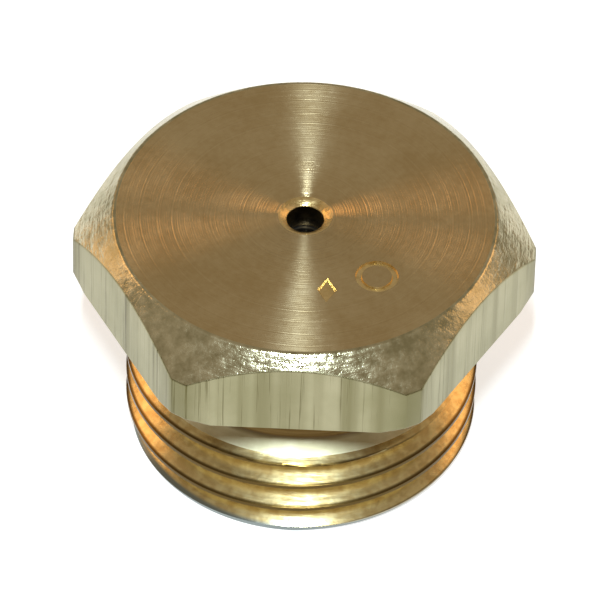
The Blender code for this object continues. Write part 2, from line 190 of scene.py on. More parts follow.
# name, azimuth, elevation, width and height in degrees, radiance, colour
PANELS = (
    ("key", 269, 57, 2, 10, 500.0, "#E4F5FF"),
    ("left_low", 156, 12, 24, 18, 1.3, "#FFC890"),
    ("right_low", 10, 20, 20, 22, 1.2, "#FFC890"),
    ("left_high", 146, 34, 30, 16, 2.6, "#FFBE7C"),
    ("right_high", 34, 34, 30, 16, 2.0, "#FFBE7C"),
)
CAMERA_ELEVATION = math.radians(45.542)
CAMERA_ROLL = math.radians(1.521)
CAMERA_TURN = math.radians(1.3315)
CAMERA_RIGHT = -0.2073 * MM
CAMERA_UP = -3.2839 * MM
CAMERA_DISTANCE = 287.975 * MM
CAMERA_LENS = 444.11
CAMERA_SENSOR = 36.0


# ---------------------------------------------------------------- material helpers
def linear(code, alpha=1.0):
    """An sRGB hex colour such as "#C8A060" as linear RGBA."""
    parts = [int(code[i:i + 2], 16) / 255 for i in (1, 3, 5)]
    return (*[p / 12.92 if p <= 0.04045 else ((p + 0.055) / 1.055) ** 2.4 for p in parts], alpha)


def plug(tree, node, inputs):
    """Give a node's inputs values, sockets, or the first live output of other nodes."""
    for name, value in inputs.items():
        if isinstance(value, bpy.types.Node):
            value = next(socket for socket in value.outputs if socket.enabled)
        if isinstance(value, bpy.types.NodeSocket):
            tree.links.new(value, node.inputs[name])
        else:
            node.inputs[name].default_value = value
    return node


def add(tree, kind, inputs=None, **settings):
    """Add a node with its settings, and plug its inputs."""
    node = tree.nodes.new(kind)
    for name, value in settings.items():
        setattr(node, name, value)
    return plug(tree, node, inputs or {})


def metal(name, roughness, anisotropy=0.0):
    """A bare metal: its node tree, its shader and its Object coordinates."""
    material = bpy.data.materials.new(name)
    material.use_nodes = True
    tree = material.node_tree
    shader = tree.nodes["Principled BSDF"]
    shader.inputs["Metallic"].default_value = 1.0
    shader.inputs["Roughness"].default_value = roughness
    shader.inputs["Anisotropic"].default_value = anisotropy
    where = add(tree, "ShaderNodeTexCoord").outputs["Object"]
    return material, tree, shader, where


def distance_from_axis(tree, where):
    """How far a point is from the nozzle's axis."""
    flat = add(tree, "ShaderNodeVectorMath", {0: where, 1: (1.0, 1.0, 0.0)}, operation="MULTIPLY")
    return add(tree, "ShaderNodeVectorMath", {0: flat}, operation="LENGTH")


def weighed(tree, *parts):
    """The sum of some noises, each times its own weight."""
    total = 0.0
    for noise, weight in parts:
        total = add(tree, "ShaderNodeMath", {0: noise, 1: weight, 2: total}, operation="MULTIPLY_ADD")
    return total


def shaded(tree, tone, low, high, first, second, most=1.0):
    """The first colour where the tone is low, going over to the second where it is high."""
    share = add(
        tree,
        "ShaderNodeMapRange",
        {"Value": tone, "From Min": low, "From Max": high, "To Max": most},
    )
    return add(tree, "ShaderNodeMix", {0: share, 6: first, 7: second}, data_type="RGBA")


# ---------------------------------------------------------------- materials
# A noise's scale is given as grains to the millimetre.
def faced_brass():
    """Free-cutting brass, faced on a lathe and gone brown.

    The tool leaves fine rings at its feed of 0.07 mm, which pull a highlight out into a thin
    streak through the middle. The air has browned it unevenly.
    """
    material, tree, shader, where = metal("free_cutting_brass_faced", 0.25, 1.0)
    shader.inputs["Anisotropic Rotation"].default_value = 0.25
    feed = add(
        tree,
        "ShaderNodeTexNoise",
        {"W": distance_from_axis(tree, where), "Scale": 14 / MM, "Detail": 2.0},
        noise_dimensions="1D",
    )
    cloud = add(
        tree,
        "ShaderNodeTexNoise",
        {"Vector": where, "Scale": 0.42 / MM, "Detail": 4.0, "Roughness": 0.6},
    )
    speck = add(tree, "ShaderNodeTexNoise", {"Vector": where, "Scale": 4.2 / MM, "Detail": 2.0})
    tone = weighed(tree, (feed, 0.2), (cloud, 0.55), (speck, 0.25))
    colour = shaded(tree, tone, 0.38, 0.62, linear("#BFAB82"), linear("#CFBF9A"))
    rough = add(
        tree,
        "ShaderNodeMapRange",
        {"Value": tone, "From Min": 0.35, "From Max": 0.65, "To Min": 0.235, "To Max": 0.265},
    )
    bump = add(tree, "ShaderNodeBump", {"Height": feed, "Distance": 0.03 * MM, "Strength": 0.6})
    tangent = add(tree, "ShaderNodeTangent", direction_type="RADIAL", axis="Z")
    plug(tree, shader, {"Base Color": colour, "Roughness": rough})
    plug(tree, shader, {"Normal": bump, "Tangent": tangent})
    return material


def turned_brass(name, dark, light, roughness):
    """Free-cutting brass, turned: fine torn rings around the axis and a mottled film."""
    material, tree, shader, where = metal(name, roughness)
    place = add(tree, "ShaderNodeMapping", {"Vector": where, "Scale": (0.12, 0.12, 1.0)})
    rings = add(tree, "ShaderNodeTexNoise", {"Vector": place, "Scale": 9 / MM, "Detail": 2.0})
    torn = add(
        tree,
        "ShaderNodeTexNoise",
        {"Vector": where, "Scale": 2.4 / MM, "Detail": 4.0, "Roughness": 0.65},
    )
    cloud = add(tree, "ShaderNodeTexNoise", {"Vector": where, "Scale": 0.5 / MM, "Detail": 4.0})
    tone = weighed(tree, (cloud, 0.5), (torn, 0.5))
    colour = shaded(tree, tone, 0.4, 0.6, linear(dark), linear(light))
    rough = add(
        tree,
        "ShaderNodeMapRange",
        {
            "Value": torn,
            "From Min": 0.3,
            "From Max": 0.7,
            "To Min": roughness * 0.7,
            "To Max": roughness * 1.3,
        },
    )
    height = weighed(tree, (rings, 1.0), (torn, 2.0))
    bump = add(tree, "ShaderNodeBump", {"Height": height, "Distance": 0.03 * MM, "Strength": 0.6})
    plug(tree, shader, {"Base Color": colour, "Roughness": rough, "Normal": bump})
    return material


def necked_brass():
    """Free-cutting brass, roughly turned: a matt grey taper, and the neck above it painted brown as
    the hexagon's shadow.
    """
    material, tree, shader, where = metal("free_cutting_brass_necked", 0.5)
    height = add(tree, "ShaderNodeSeparateXYZ", {0: where}).outputs["Z"]
    place = add(tree, "ShaderNodeMapping", {"Vector": where, "Scale": (0.02, 0.02, 1.0)})
    rings = add(tree, "ShaderNodeTexNoise", {"Vector": place, "Scale": 9 / MM, "Detail": 2.0})
    cloud = add(tree, "ShaderNodeTexNoise", {"Vector": where, "Scale": 0.9 / MM, "Detail": 4.0})
    unshaded_colour = shaded(tree, cloud, 0.38, 0.62, linear("#B9B292"), linear("#CBC6AA"))
    # painted shadow: the neck turns brown above a height, where the hexagon's shadow falls
    hex_shadow_colour = shaded(tree, rings, 0.4, 0.6, linear("#65502D"), linear("#76603A"))
    colour = shaded(tree, height, HEX_SHADOW_FOOT_Z, HEX_SHADOW_FULL_Z, unshaded_colour, hex_shadow_colour)
    bump = add(tree, "ShaderNodeBump", {"Height": rings, "Distance": 0.02 * MM, "Strength": 0.5})
    plug(tree, shader, {"Base Color": colour, "Normal": bump})
    return material


def drawn_brass():
    """Free-cutting brass bar as drawn: a dull greenish film, with draw lines along the bar.

    It is darker towards the corners.
    """
    material, tree, shader, where = metal("free_cutting_brass_drawn_bar", 0.34)
    place = add(tree, "ShaderNodeMapping", {"Vector": where, "Scale": (1.0, 1.0, 0.012)})
    lines = add(
        tree,
        "ShaderNodeTexNoise",
        {"Vector": place, "Scale": 6 / MM, "Detail": 4.0, "Roughness": 0.8},
    )
    wide = add(tree, "ShaderNodeTexNoise", {"Vector": place, "Scale": 1.3 / MM, "Detail": 2.0})
    film = add(tree, "ShaderNodeTexNoise", {"Vector": where, "Scale": 0.35 / MM, "Detail": 4.0})
    radius = distance_from_axis(tree, where)
    colour = shaded(tree, film, 0.35, 0.65, linear("#959272"), linear("#AAA688"))
    colour = shaded(tree, wide, 0.5, 0.72, colour, linear("#848060"))
    colour = shaded(tree, lines, 0.56, 0.66, colour, linear("#5A5434"))
    colour = shaded(tree, radius, *CORNER_DARKER_RADII, colour, linear("#6A6642"), most=0.6)
    rough = add(tree, "ShaderNodeMapRange", {"Value": film, "To Min": 0.28, "To Max": 0.42})
    height = weighed(tree, (lines, 1.0), (wide, 1.0))
    bump = add(tree, "ShaderNodeBump", {"Height": height, "Distance": 0.03 * MM, "Strength": 0.5})
    plug(tree, shader, {"Base Color": colour, "Roughness": rough, "Normal": bump})
    return material


def threaded_brass():
    """Free-cutting brass, thread cut with a die: bright flanks with small torn spots.

    The crests carry a painted dark line of shade, and the grey chamfer at the cut-off end is a
    painted reflection of the shade beneath it.
    """
    material, tree, shader, where = metal("free_cutting_brass_die_cut", 0.26)
    place = add(tree, "ShaderNodeMapping", {"Vector": where, "Scale": (0.06, 0.06, 1.0)})
    rings = add(tree, "ShaderNodeTexNoise", {"Vector": place, "Scale": 12 / MM, "Detail": 2.0})
    torn = add(tree, "ShaderNodeTexNoise", {"Vector": where, "Scale": 2.6 / MM, "Detail": 3.0})
    height = add(tree, "ShaderNodeSeparateXYZ", {0: where}).outputs["Z"]
    radius = distance_from_axis(tree, where)
    colour = shaded(tree, torn, 0.4, 0.62, linear("#BBA674"), linear("#CFC090"))
    # painted shade: a dark line along the crests
    colour = shaded(tree, radius, *CREST_SHADE_RADII, colour, linear("#5C4A26"))
    # painted reflection: the chamfer at the cut-off end is grey, as if it reflected the shade beneath
    # it
    end_shade_colour = shaded(tree, radius, *END_SHADE_RADII, colour, linear("#7A827F"))
    colour = shaded(tree, height, *END_SHADE_HEIGHTS, colour, end_shade_colour)
    relief = weighed(tree, (rings, 1.0), (torn, 1.0))
    bump = add(tree, "ShaderNodeBump", {"Height": relief, "Distance": 0.012 * MM, "Strength": 0.5})
    plug(tree, shader, {"Base Color": colour, "Normal": bump})
    return material


def worked_metal(name, dark, light, roughness, grain, stretch, depth):
    """Bare metal with a grain of its own: colour, gloss and relief all follow the grain."""
    material, tree, shader, where = metal(name, roughness)
    place = add(tree, "ShaderNodeMapping", {"Vector": where, "Scale": stretch})
    noise = add(tree, "ShaderNodeTexNoise", {"Vector": place, "Scale": grain, "Detail": 3.0})
    cloud = add(tree, "ShaderNodeTexNoise", {"Vector": where, "Scale": 0.6 / MM, "Detail": 3.0})
    tone = weighed(tree, (noise, 0.5), (cloud, 0.5))
    colour = shaded(tree, tone, 0.4, 0.6, linear(dark), linear(light))
    rough = add(
        tree,
        "ShaderNodeMapRange",
        {
            "Value": tone,
            "From Min": 0.35,
            "From Max": 0.65,
            "To Min": roughness * 0.8,
            "To Max": roughness * 1.2,
        },
    )
    bump = add(tree, "ShaderNodeBump", {"Height": noise, "Distance": depth, "Strength": 0.5})
    plug(tree, shader, {"Base Color": colour, "Roughness": rough, "Normal": bump})
    return material


# ---------------------------------------------------------------- turning and threading
def hex_columns():
    """Angles of the columns, closer together at the hexagon's blunted corners."""
    half = math.acos(HEX_FLAT_RADIUS / HEX_CORNER_RADIUS)
    angles = []
    for side in range(6):
        middle = math.radians(30 + 60 * side)
        angles += list(np.linspace(middle - half, middle + half, COLUMNS_PER_FLAT + 1)[:-1])
        corner = math.radians(60) - 2 * half
        angles += list(middle + half + np.linspace(0, corner, COLUMNS_PER_CORNER + 1)[:-1])
    return np.array(angles)


def hex_radius(angles):
    """Distance from the axis to the hexagon's outline."""
    from_flat = (angles % math.radians(60)) - math.radians(30)
    return np.minimum(HEX_FLAT_RADIUS / np.cos(from_flat), HEX_CORNER_RADIUS)


def profile(points, angles):
    """(radius, height) points as rows.

    Each radius and each height is one number, or one for each column.
    """
    rows = np.zeros((len(points), len(angles), 2))
    for index, (radius, height) in enumerate(points):
        rows[index, :, 0] = radius
        rows[index, :, 1] = height
    return rows


def eased(rows, cuts, steps=EDGE_STEPS):
    """Round the corners between rows; cuts says how far back from each inner row."""
    made = [rows[:1]]
    for index in range(1, len(rows) - 1):
        here = rows[index]
        cut = cuts[index - 1]
        if cut <= 0:
            made.append(rows[index:index + 1])
            continue
        ends = []
        for way in (rows[index - 1] - here, rows[index + 1] - here):
            length = np.maximum(np.linalg.norm(way, axis=-1, keepdims=True), LEAST_LENGTH)
            ends.append(here + way / length * np.minimum(cut, LARGEST_CUT * length))
        for t in np.linspace(0, 1, steps):
            bend = ends[0] * (1 - t) ** 2 + here * 2 * t * (1 - t) + ends[1] * t ** 2
            made.append(bend[None])
    made.append(rows[-1:])
    return np.concatenate(made)


def softened(share):
    """A share of a flank's depth that starts from nothing in a small curve."""
    curve = np.maximum(share + THREAD_SOFTNESS, 0) ** 2 / (4 * THREAD_SOFTNESS)
    return np.where(share < THREAD_SOFTNESS, curve, share)


def thread_height(along, pitch, depth, wider=0.0):
    """How far a 60 degree thread stands below its crest at a place along the axis."""
    flank = depth * FLANK_SLOPE
    crest = pitch * CREST_SHARE / 2 + wider
    off = np.abs((along / pitch + 0.5) % 1.0 - 0.5) * pitch
    share = (off - crest) / flank
    return depth * np.clip(np.where(share < 0.5, softened(share), 1 - softened(1 - share)), 0, 1)


def thread_rows(angles, top, foot, pitch, depth, crest_z, radius_of):
    """Helical rows of a right-hand thread from the top down, and how many make one turn.

    A turn's worth of rows is pressed flat at each end, where the helix is cut off.
    """
    flank = depth * FLANK_SLOPE / pitch
    crest = CREST_SHARE / 2
    half = [crest * stop for stop in CREST_STOPS]
    half += [crest + flank * stop for stop in FLANK_STOPS]
    half.append((crest + flank + 0.5) / 2)
    stops = sorted({0, 0.5, *half, *(1 - stop for stop in half)})
    lead = pitch * (angles - FRONT_ANGLE) / math.tau
    first = int(math.floor((foot - lead.max() - crest_z) / pitch)) - SPARE_TURNS
    last = int(math.ceil((top - lead.min() - crest_z) / pitch)) + SPARE_TURNS
    rows = []
    for turn in range(last, first - 1, -1):
        for stop in reversed(stops):
            height = crest_z + (turn + stop) * pitch + lead
            if height.min() > top + pitch or height.max() < foot - pitch:
                continue
            height = np.clip(height, foot, top)
            rows.append(np.stack([radius_of(height, height - lead - crest_z), height], axis=-1))
    return np.array(rows), len(stops)


def placed(name, data):
    """An object in the scene for a mesh, a light or a camera."""
    obj = bpy.data.objects.new(name, data)
    bpy.context.scene.collection.objects.link(obj)
    return obj


def smoothed(mesh):
    """Smooth faces that meet in sharp edges."""
    mesh.shade_smooth()
    mesh.set_sharp_from_angle(angle=SHARP_ANGLE)
    return mesh


def evaluated_mesh(obj):
    """The plain mesh that an object's modifiers make."""
    depsgraph = bpy.context.evaluated_depsgraph_get()
    return bpy.data.meshes.new_from_object(obj.evaluated_get(depsgraph))


def turned_mesh(name, angles, bands, materials):
    """A closed turned solid: bands of rows, one after another.

    Each band has its rows, its material, and its climb: a helical band joins up with itself
    that many rows higher once round the axis.
    """
    rows = np.concatenate([band for band, _, _ in bands])
    owner = np.concatenate([np.full(len(band), index) for band, index, _ in bands])
    joined = []
    start = 0
    for band, _, climb in bands:
        own = np.arange(start, start + len(band))
        joined.append(np.clip(own - climb, own[0], own[-1]))
        start += len(band)
    joined = np.concatenate(joined)
    count, columns = rows.shape[:2]
    radius, height = rows[..., 0], rows[..., 1]
    points = np.stack([radius * np.cos(angles), radius * np.sin(angles), height], axis=-1)
    row, column = np.meshgrid(np.arange(count), np.arange(columns), indexing="ij")
    next_row = (row + 1) % count
    next_column = (column + 1) % columns
    last = column == columns - 1
    row_there = np.where(last, joined[row], row)
    next_row_there = np.where(last, joined[next_row], next_row)
    quads = np.stack(
        [
            row * columns + column,
            next_row * columns + column,
            next_row_there * columns + next_column,
            row_there * columns + next_column,
        ],
        axis=-1,
    ).reshape(-1, 4)
    mesh = bpy.data.meshes.new(name)
    mesh.from_pydata(points.reshape(-1, 3).tolist(), [], quads.tolist())
    for material in materials:
        mesh.materials.append(material)
    mesh.polygons.foreach_set("material_index", owner[row.ravel()].astype(np.int32))
    shape = bmesh.new()
    shape.from_mesh(mesh)
    bmesh.ops.remove_doubles(shape, verts=shape.verts, dist=MERGE_DISTANCE)
    bmesh.ops.dissolve_degenerate(shape, edges=shape.edges, dist=SLIVER_WIDTH)
    bmesh.ops.recalc_face_normals(shape, faces=shape.faces)
    shape.to_mesh(mesh)
    shape.free()
    return placed(name, smoothed(mesh))


def carve(obj, shapes):
    """Cut shapes out of a piece, and leave a plain mesh."""
    mesh = bpy.data.meshes.new("carving")
    shapes.to_mesh(mesh)
    shapes.free()
    cutter = placed("carving", mesh)
    boolean = obj.modifiers.new("carving", "BOOLEAN")
    boolean.operation = "DIFFERENCE"
    boolean.solver = "EXACT"
    boolean.object = cutter
    made = evaluated_mesh(obj)
    obj.modifiers.clear()
    obj.data = smoothed(made)
    bpy.data.objects.remove(cutter)


def stand_for(piece, node, body):
    """A finished piece stands for a CAD node, on its body."""
    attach(piece, body)
    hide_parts(node)


# ---------------------------------------------------------------- the body
def neck_and_thread(height, along):
    """Radius of the outer thread: a neck above, a chamfer at the rear end."""
    run_out = np.clip((height - RUN_OUT_Z) / RUN_OUT_LENGTH, 0, 1)
    root = OUTER_CREST_RADIUS - OUTER_DEPTH
    root = root + (NECK_FOOT_RADIUS - root) * run_out ** 2
    thread = OUTER_CREST_RADIUS - thread_height(along, OUTER_PITCH, OUTER_DEPTH)
    shoulder = NECK_FOOT_RADIUS + (NECK_FOOT_Z - height) / FLANK_SLOPE
    slope = (OUTER_CREST_RADIUS - REAR_CHAMFER_RADIUS) / REAR_CHAMFER_HEIGHT
    chamfer = REAR_CHAMFER_RADIUS + height * slope
    return np.minimum(np.minimum(np.maximum(thread, root), shoulder), chamfer)


def lock_bore(height, along):
    """Radius of the body's inner thread, open at its mouth and relieved at the shoulder."""
    depth = thread_height(along, INNER_PITCH, INNER_DEPTH, THREAD_PLAY / 2)
    thread = np.maximum(SCREW_RADIUS + THREAD_PLAY - depth, BORE_MOUTH_RADIUS - height)
    relief = SCREW_RADIUS + 2 * THREAD_PLAY
    return np.where(height > SHOULDER_Z - BORE_RELIEF_LENGTH, relief, thread)


def make_body(materials):
    """The hexagon, face, neck, threads and bores as one closed piece."""
    faced, turned, drawn, neck, threaded, bored, flared = range(len(materials))
    angles = hex_columns()
    hexagon = hex_radius(angles)
    chamfer_foot = FACE_Z - (hexagon - FACE_RADIUS)
    flat_middle = (chamfer_foot + SEAT_Z) / 2
    under = np.minimum(hexagon, UNDER_CHAMFER_RADIUS)
    under_rise = (hexagon - under) * UNDER_CHAMFER_SLOPE
    edge = HEX_EDGE_ROUNDING

    rim_inner = FACE_RADIUS - FACE_RIM_WIDTH
    face = profile(
        [(OUTLET_FLARE_RADIUS, FACE_Z), (FACE_MIDDLE_RADIUS, FACE_Z), (rim_inner, FACE_Z)], angles
    )
    rim = profile(
        [
            (rim_inner, FACE_Z),
            (FACE_RADIUS, FACE_Z),
            (hexagon, chamfer_foot),
            (hexagon, flat_middle),
        ],
        angles,
    )
    rim = eased(rim, [FACE_RIM_ROUNDING, edge], RIM_STEPS)
    rim_rows = 1 + RIM_STEPS
    flats = profile(
        [
            (hexagon, flat_middle),
            (hexagon, SEAT_Z + under_rise),
            (under, SEAT_Z),
            (SEAT_INNER_RADIUS, SEAT_Z),
            (SEAT_INNER_RADIUS, SEAT_Z + SEAT_UNDERCUT),
            (NECK_RADIUS, SEAT_Z + SEAT_UNDERCUT),
            (NECK_RADIUS, TAPER_TOP_Z),
            (NECK_FOOT_RADIUS, NECK_FOOT_Z),
        ],
        angles,
    )
    flats = eased(flats, [edge, edge, edge / 2, 0, NECK_ROUNDING, NECK_ROUNDING])
    flat_rows = 1 + EDGE_STEPS
    outer, outer_turn = thread_rows(
        angles, NECK_FOOT_Z, 0.0, OUTER_PITCH, OUTER_DEPTH, OUTER_CREST_Z, neck_and_thread
    )
    inner, inner_turn = thread_rows(
        angles, SHOULDER_Z, 0.0, INNER_PITCH, INNER_DEPTH, INNER_CREST_Z, lock_bore
    )
    bores = profile(
        [
            (SCREW_RADIUS + 2 * THREAD_PLAY, SHOULDER_Z),
            (DISC_BORE_RADIUS, SHOULDER_Z),
            (DISC_BORE_RADIUS, WALL_BACK_Z),
            (OUTLET_RADIUS, WALL_BACK_Z),
            (OUTLET_RADIUS, FACE_Z - OUTLET_FLARE_DEPTH),
            (OUTLET_FLARE_RADIUS, FACE_Z),
        ],
        angles,
    )
    bores = eased(bores, [DISC_BORE_ROUNDING, 0, OUTLET_BACK_ROUNDING, OUTLET_THROAT_ROUNDING])
    flare_rows = 1 + EDGE_STEPS
    bands = [
        (face, faced, 0),
        (rim[:rim_rows], turned, 0),
        (rim[rim_rows:], drawn, 0),
        (flats[:flat_rows], drawn, 0),
        (flats[flat_rows:], neck, 0),
        (outer, threaded, outer_turn),
        (inner[::-1], bored, -inner_turn),
        (bores[:-flare_rows], bored, 0),
        (bores[-flare_rows:], flared, 0),
    ]
    body = turned_mesh("nozzle_body_turned", angles, bands, materials)
    carve(body, punch_marks())
    for polygon in body.data.polygons:
        x, y, z = polygon.center
        sunk = MARK_SKIN < FACE_Z - z < 2 * MARK_DEPTH
        if sunk and y < MARKS_BACK_Y and math.hypot(x, y) < MARKS_RADIUS:
            polygon.material_index = flared
    stand_for(body, "nozzle_body", "nozzle_body")


def punch_marks():
    """Two plain inspection marks in the face: a ring and a diamond."""
    shape = bmesh.new()
    loops = []
    for radius, height in zip(RING_RADII, (MARK_OVERLAP, -MARK_DEPTH, -MARK_DEPTH, MARK_OVERLAP)):
        loop = []
        for step in range(RING_STEPS):
            a = math.tau * step / RING_STEPS
            spot = Vector((radius * math.cos(a), radius * math.sin(a), height))
            loop.append(shape.verts.new(RING_SPOT + spot))
        loops.append(loop)
    for one, two in zip(loops, loops[1:] + loops[:1]):
        for step in range(RING_STEPS):
            after = (step + 1) % RING_STEPS
            shape.faces.new((one[step], two[step], two[after], one[after]))
    wide, long = DIAMOND_HALF_WIDTH, DIAMOND_HALF_LENGTH
    top = []
    low = []
    for x, y in ((wide, 0.0), (0.0, long), (-wide, 0.0), (0.0, -long)):
        top.append(shape.verts.new(DIAMOND_SPOT + Vector((x, y, MARK_OVERLAP))))
        spot = Vector((x * DIAMOND_FLOOR_WIDTH, y * DIAMOND_FLOOR_LENGTH, -MARK_DEPTH))
        low.append(shape.verts.new(DIAMOND_SPOT + spot))
    shape.faces.new(top)
    shape.faces.new(low[::-1])
    for step in range(4):
        after = (step + 1) % 4
        shape.faces.new((top[step], low[step], low[after], top[after]))
    bmesh.ops.recalc_face_normals(shape, faces=shape.faces)
    return shape


# ---------------------------------------------------------------- the lock screw
def screw_thread(height, along):
    """Radius of the lock screw's thread, chamfered at both ends."""
    thread = SCREW_RADIUS - thread_height(along, INNER_PITCH, INNER_DEPTH)
    front = SCREW_RADIUS - SCREW_CHAMFER + (SCREW_FRONT_Z - height)
    rear = SCREW_RADIUS - SCREW_CHAMFER + (height - SCREW_REAR_Z)
    return np.minimum(np.minimum(thread, front), rear)


def make_lock_screw(material):
    """Hollow threaded screw with a driver slot and six feed holes."""
    web_back_z = SCREW_FRONT_Z - SCREW_WEB
    angles = np.linspace(0, math.tau, SCREW_COLUMNS, endpoint=False) + SCREW_COLUMN_TURN
    outer, turn = thread_rows(
        angles, SCREW_FRONT_Z, SCREW_REAR_Z, INNER_PITCH, INNER_DEPTH, INNER_CREST_Z, screw_thread
    )
    inside = profile(
        [
            (SCREW_RADIUS - SCREW_CHAMFER, SCREW_REAR_Z),
            (POCKET_RADIUS, SCREW_REAR_Z),
            (POCKET_RADIUS, web_back_z),
            (STEM_BORE_RADIUS, web_back_z),
            (STEM_BORE_RADIUS, SCREW_FRONT_Z),
            (SCREW_RADIUS - SCREW_CHAMFER, SCREW_FRONT_Z),
        ],
        angles,
    )
    inside = eased(inside, POCKET_ROUNDINGS)
    bands = [(outer, 0, turn), (inside, 0, 0)]
    screw = turned_mesh("lock_screw_threaded", angles, bands, [material])
    shape = bmesh.new()
    for index in range(FEED_HOLES):
        a = math.tau * (index + 0.5) / FEED_HOLES
        x = FEED_CIRCLE_RADIUS * math.cos(a)
        y = FEED_CIRCLE_RADIUS * math.sin(a)
        bmesh.ops.create_cone(
            shape,
            cap_ends=True,
            segments=HOLE_STEPS,
            radius1=FEED_HOLE_RADIUS,
            radius2=FEED_HOLE_RADIUS,
            depth=FEED_CUTTER_LENGTH,
            matrix=Matrix.Translation((x, y, SCREW_FRONT_Z - SCREW_WEB / 2)),
        )
    size = Matrix.Diagonal((SLOT_LENGTH, SLOT_WIDTH, SLOT_CUTTER_HEIGHT, 1.0))
    slot = Matrix.Translation((0.0, 0.0, SCREW_REAR_Z)) @ size
    bmesh.ops.create_cube(shape, size=1.0, matrix=slot)
    carve(screw, shape)
    stand_for(screw, "lock_screw", "lock_screw")


# ---------------------------------------------------------------- the gauze
def weave_tree(material):
    """Geometry nodes: wires laid side by side, waved over and under a second set across them."""
    tree = bpy.data.node_groups.new("woven_wires", "GeometryNodeTree")
    tree.interface.new_socket("Geometry", in_out="OUTPUT", socket_type="NodeSocketGeometry")
    for name in ("Radius", "Pitch", "Wire", "Height"):
        tree.interface.new_socket(name, in_out="INPUT", socket_type="NodeSocketFloat")
    start = add(tree, "NodeGroupInput")
    end = add(tree, "NodeGroupOutput")
    radius, pitch, wire, height = (start.outputs[n] for n in ("Radius", "Pitch", "Wire", "Height"))

    # how many wires lie on each side of the middle one, and where the first lies
    fit = add(tree, "ShaderNodeMath", {0: radius, 1: pitch}, operation="DIVIDE")
    beside = add(tree, "ShaderNodeMath", {0: fit}, operation="FLOOR")
    count = add(tree, "ShaderNodeMath", {0: beside, 1: 2.0, 2: 1.0}, operation="MULTIPLY_ADD")
    reach = add(tree, "ShaderNodeMath", {0: beside, 1: pitch}, operation="MULTIPLY")
    first_y = add(tree, "ShaderNodeMath", {0: reach, 1: -1.0}, operation="MULTIPLY")
    left_x = add(tree, "ShaderNodeMath", {0: radius, 1: -1.0}, operation="MULTIPLY")
    first_spot = add(tree, "ShaderNodeCombineXYZ", {1: first_y})
    step = add(tree, "ShaderNodeCombineXYZ", {1: pitch})
    left = add(tree, "ShaderNodeCombineXYZ", {0: left_x})
    right = add(tree, "ShaderNodeCombineXYZ", {0: radius})
    spots = add(
        tree,
        "GeometryNodeMeshLine",
        {"Count": count, "Start Location": first_spot, "Offset": step},
        mode="OFFSET",
    )
    line = add(tree, "GeometryNodeCurvePrimitiveLine", {"Start": left, "End": right})
    fine = add(tree, "GeometryNodeResampleCurve", {"Curve": line, "Count": WIRE_POINTS})
    laid = add(tree, "GeometryNodeInstanceOnPoints", {"Points": spots, "Instance": fine})
    wires = add(tree, "GeometryNodeRealizeInstances", {"Geometry": laid})

    # each wire is shortened to the disc's outline, and waved by half the wire's thickness
    at = add(tree, "ShaderNodeSeparateXYZ", {0: add(tree, "GeometryNodeInputPosition")})
    y = at.outputs["Y"]
    share = add(tree, "ShaderNodeMath", {0: y, 1: radius}, operation="DIVIDE")
    squared = add(tree, "ShaderNodeMath", {0: share, 1: share}, operation="MULTIPLY")
    left_over = add(tree, "ShaderNodeMath", {0: 1.0, 1: squared}, operation="SUBTRACT")
    not_less = add(tree, "ShaderNodeMath", {0: left_over, 1: 0.0}, operation="MAXIMUM")
    chord = add(tree, "ShaderNodeMath", {0: not_less}, operation="SQRT")
    run = add(tree, "ShaderNodeMath", {0: at.outputs["X"], 1: chord}, operation="MULTIPLY")
    crossed = add(tree, "ShaderNodeMath", {0: run, 1: y}, operation="ADD")
    turns = add(tree, "ShaderNodeMath", {0: crossed, 1: pitch}, operation="DIVIDE")
    phase = add(tree, "ShaderNodeMath", {0: turns, 1: math.pi}, operation="MULTIPLY")
    wave = add(tree, "ShaderNodeMath", {0: phase}, operation="COSINE")
    thickness = add(tree, "ShaderNodeMath", {0: wire, 1: 0.5}, operation="MULTIPLY")
    section = add(
        tree, "GeometryNodeCurvePrimitiveCircle", {"Resolution": WIRE_SIDES, "Radius": thickness}
    )
    joined = add(tree, "GeometryNodeJoinGeometry")
    for across, side in ((False, 0.5), (True, -0.5)):
        swing = add(tree, "ShaderNodeMath", {0: wire, 1: side}, operation="MULTIPLY")
        rise = add(tree, "ShaderNodeMath", {0: wave, 1: swing, 2: height}, operation="MULTIPLY_ADD")
        spot = {0: y, 1: run, 2: rise} if across else {0: run, 1: y, 2: rise}
        moved = add(
            tree,
            "GeometryNodeSetPosition",
            {"Geometry": wires, "Position": add(tree, "ShaderNodeCombineXYZ", spot)},
        )
        tube = add(
            tree,
            "GeometryNodeCurveToMesh",
            {"Curve": moved, "Profile Curve": section, "Fill Caps": True},
        )
        plug(tree, joined, {0: tube})
    made = add(tree, "GeometryNodeRealizeInstances", {"Geometry": joined})
    coated = add(tree, "GeometryNodeSetMaterial", {"Geometry": made, "Material": material})
    plug(tree, end, {0: coated})
    return tree


def make_gauze(material):
    """Woven wire disc that stands for the plain gauze disc."""
    wire = (GAUZE_HIGH.z - GAUZE_LOW.z) / 2
    gauze = placed("gauze_woven", bpy.data.meshes.new("gauze_woven"))
    modifier = gauze.modifiers.new("weave", "NODES")
    modifier.node_group = weave_tree(material)
    values = {
        "Radius": GAUZE_HIGH.x - wire,
        "Pitch": GAUZE_PITCH,
        "Wire": wire,
        "Height": (GAUZE_HIGH.z + GAUZE_LOW.z) / 2,
    }
    for item in modifier.node_group.interface.items_tree:
        if item.item_type == "SOCKET" and item.in_out == "INPUT":
            modifier[item.identifier] = values[item.name]
    made = evaluated_mesh(gauze)
    gauze.modifiers.clear()
    gauze.data = made
    made.shade_smooth()
    stand_for(gauze, "strainer_gauze", "strainer")


